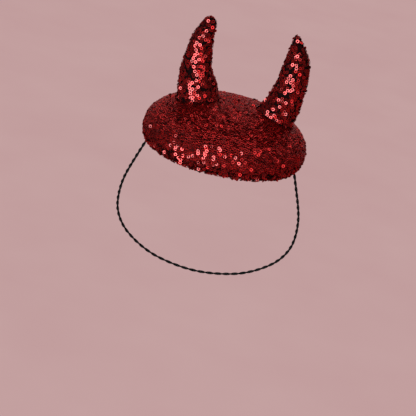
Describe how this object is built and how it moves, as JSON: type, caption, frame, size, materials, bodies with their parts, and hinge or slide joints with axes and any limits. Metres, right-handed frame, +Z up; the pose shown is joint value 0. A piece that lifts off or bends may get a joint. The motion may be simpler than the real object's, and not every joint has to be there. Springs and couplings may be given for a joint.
{
  "type": "horned fascinator",
  "caption": "Sequinned fascinator: a domed oval crown, open below, with curved stuffed horns on top and a thin elastic that holds it on a head.",
  "frame": {"origin": "middle of the rim's plane, where the crown sits on a head", "axes": "+Z up through the dome, -Y to the front, +X to the viewer's right as seen from the front"},
  "size_m": [0.1864, 0.1729, 0.2984],
  "materials": {
    "sequin_fabric": "net covered in overlapping glossy red sequins",
    "elastic": "matt black woven elastic"
  },
  "bodies": {
    "root": {"crown": "sequin_fabric", "horn_left": "sequin_fabric", "horn_right": "sequin_fabric", "elastic_cord": "elastic"}
  },
  "joints": []
}
